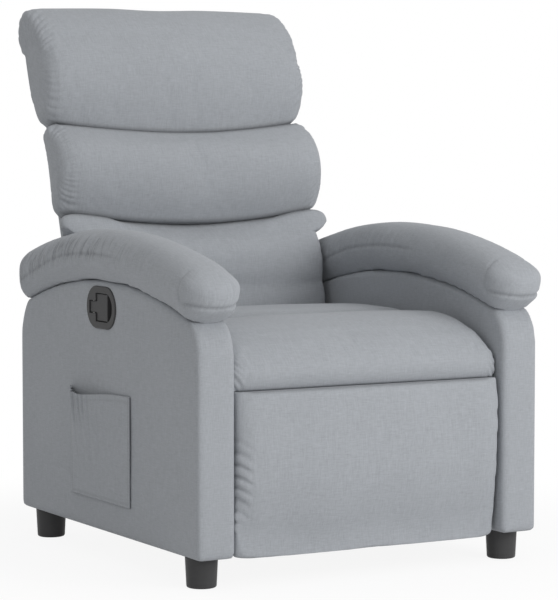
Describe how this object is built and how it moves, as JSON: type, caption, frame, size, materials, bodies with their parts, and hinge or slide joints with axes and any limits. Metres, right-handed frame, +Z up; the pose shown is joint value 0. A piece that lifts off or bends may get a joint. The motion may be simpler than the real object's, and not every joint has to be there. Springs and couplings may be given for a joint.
{
  "type": "recliner armchair",
  "caption": "Upholstered recliner armchair with arched arm pads, stacked back pillows, a swing-out footrest panel, a side pocket and an oval release paddle.",
  "frame": {"origin": "on the floor, at the middle of the chair's footprint", "axes": "+Z up, +Y from the footrest toward the back, +X toward the sitter's left"},
  "size_m": [0.746, 0.9394, 1.0374],
  "materials": {
    "upholstery": "light grey linen-look woven upholstery",
    "black_plastic": "satin black moulded plastic",
    "timber": "sawn pine and plywood",
    "black_steel": "black powder-coated sheet steel",
    "bright_steel": "zinc-plated steel",
    "webbing": "black elastic webbing",
    "cable_sheath": "black plastic cable sheath"
  },
  "bodies": {
    "base": {"left_arm_cover": "upholstery", "right_arm_cover": "upholstery", "left_arm_frame": "timber", "right_arm_frame": "timber", "left_arm_pad": "upholstery", "right_arm_pad": "upholstery", "side_pocket": "upholstery", "handle_bezel": "black_plastic", "paddle_pin": "bright_steel", "paddle_spring": "bright_steel", "release_cable": "cable_sheath", "front_left_foot": "black_plastic", "front_right_foot": "black_plastic", "rear_left_foot": "black_plastic", "rear_right_foot": "black_plastic", "foot_studs": "bright_steel", "left_base_plate": "black_steel", "right_base_plate": "black_steel", "front_cross_rail": "black_steel", "rear_cross_rail": "black_steel", "base_bolts": "bright_steel", "base_rivets": "bright_steel"},
    "paddle": {"release_paddle": "black_plastic"},
    "front_swing": {"front_swing_links": "black_steel", "front_swing_rivets": "bright_steel"},
    "rear_swing": {"rear_swing_links": "black_steel", "rear_swing_rivets": "bright_steel"},
    "seat": {"left_seat_plate": "black_steel", "right_seat_plate": "black_steel", "seat_side_rails": "timber", "seat_front_rail": "timber", "seat_rear_rail": "timber", "seat_screws": "bright_steel", "seat_springs": "bright_steel", "seat_front_roll": "upholstery", "seat_cushion": "upholstery", "seat_rivets": "bright_steel"},
    "back": {"back_posts": "timber", "back_brackets": "black_steel", "back_bolts": "bright_steel", "back_rivets": "bright_steel", "back_cross_rails": "timber", "back_webbing": "webbing", "back_panel": "upholstery", "lower_pillow": "upholstery", "middle_pillow": "upholstery", "head_pillow": "upholstery"},
    "back_drive": {"back_drive_links": "black_steel"},
    "lift": {"lift_links": "black_steel", "lift_rivets": "bright_steel", "torque_tube": "black_steel"},
    "cross": {"cross_links": "black_steel", "cross_rivets": "bright_steel"},
    "control": {"control_links": "black_steel"},
    "parallel": {"parallel_links": "black_steel"},
    "footrest": {"footrest_brackets": "black_steel", "footrest_rivets": "bright_steel", "footrest_board": "timber", "footrest_pad": "upholstery"}
  },
  "joints": [
    {"name": "recline", "type": "hinge", "parent": "base", "child": "front_swing", "pos_m": [0, -0.22179, 0.19], "axis": [1, 0, 0], "range_deg": [0, 42]},
    {"name": "rear_swing_turn", "type": "hinge", "parent": "base", "child": "rear_swing", "pos_m": [0, 0.02821, 0.19], "axis": [1, 0, 0], "range_deg": [0, 42]},
    {"name": "seat_level", "type": "hinge", "parent": "front_swing", "child": "seat", "pos_m": [0, -0.17145, 0.27056], "axis": [-1, 0, 0], "range_deg": [0, 42]},
    {"name": "back_tilt", "type": "hinge", "parent": "seat", "child": "back", "pos_m": [0, 0.18821, 0.335], "axis": [-1, 0, 0], "range_deg": [0, 36.2]},
    {"name": "back_drive_turn", "type": "hinge", "parent": "base", "child": "back_drive", "pos_m": [0, 0.12461, 0.11], "axis": [1, 0, 0], "range_deg": [0, 24.7]},
    {"name": "footrest_lift", "type": "hinge", "parent": "seat", "child": "lift", "pos_m": [0, -0.34179, 0.29], "axis": [-1, 0, 0], "range_deg": [0, 90]},
    {"name": "cross_turn", "type": "hinge", "parent": "lift", "child": "cross", "pos_m": [0, -0.30179, 0.094], "axis": [1, 0, 0], "range_deg": [0, 112.6]},
    {"name": "footrest_turn", "type": "hinge", "parent": "cross", "child": "footrest", "pos_m": [0, -0.37379, 0.257], "axis": [-1, 0, 0], "range_deg": [0, 112.6]},
    {"name": "parallel_turn", "type": "hinge", "parent": "lift", "child": "parallel", "pos_m": [0, -0.31379, 0.15279], "axis": [1, 0, 0], "range_deg": [0, 112.6]},
    {"name": "control_turn", "type": "hinge", "parent": "seat", "child": "control", "pos_m": [0, -0.32739, 0.2639], "axis": [-1, 0, 0], "range_deg": [0, 91.6]},
    {"name": "paddle_pull", "type": "hinge", "parent": "base", "child": "paddle", "pos_m": [-0.348, -0.03749, 0.467], "axis": [0, 0, -1], "range_deg": [0, 30], "stiffness_Nm_per_rad": 0.25, "springref_deg": -5.73}
  ],
  "couplings": [
    {"joint": "rear_swing_turn", "follows": "recline", "ratio": 1},
    {"joint": "seat_level", "follows": "recline", "ratio": 1},
    {"joint": "back_tilt", "follows": "recline", "ratio": 0.86},
    {"joint": "back_drive_turn", "follows": "recline", "ratio": 0.5852},
    {"joint": "cross_turn", "follows": "footrest_lift", "ratio": 1.25},
    {"joint": "footrest_turn", "follows": "footrest_lift", "ratio": 1.25},
    {"joint": "parallel_turn", "follows": "footrest_lift", "ratio": 1.25},
    {"joint": "control_turn", "follows": "footrest_lift", "ratio": 1.0164}
  ]
}
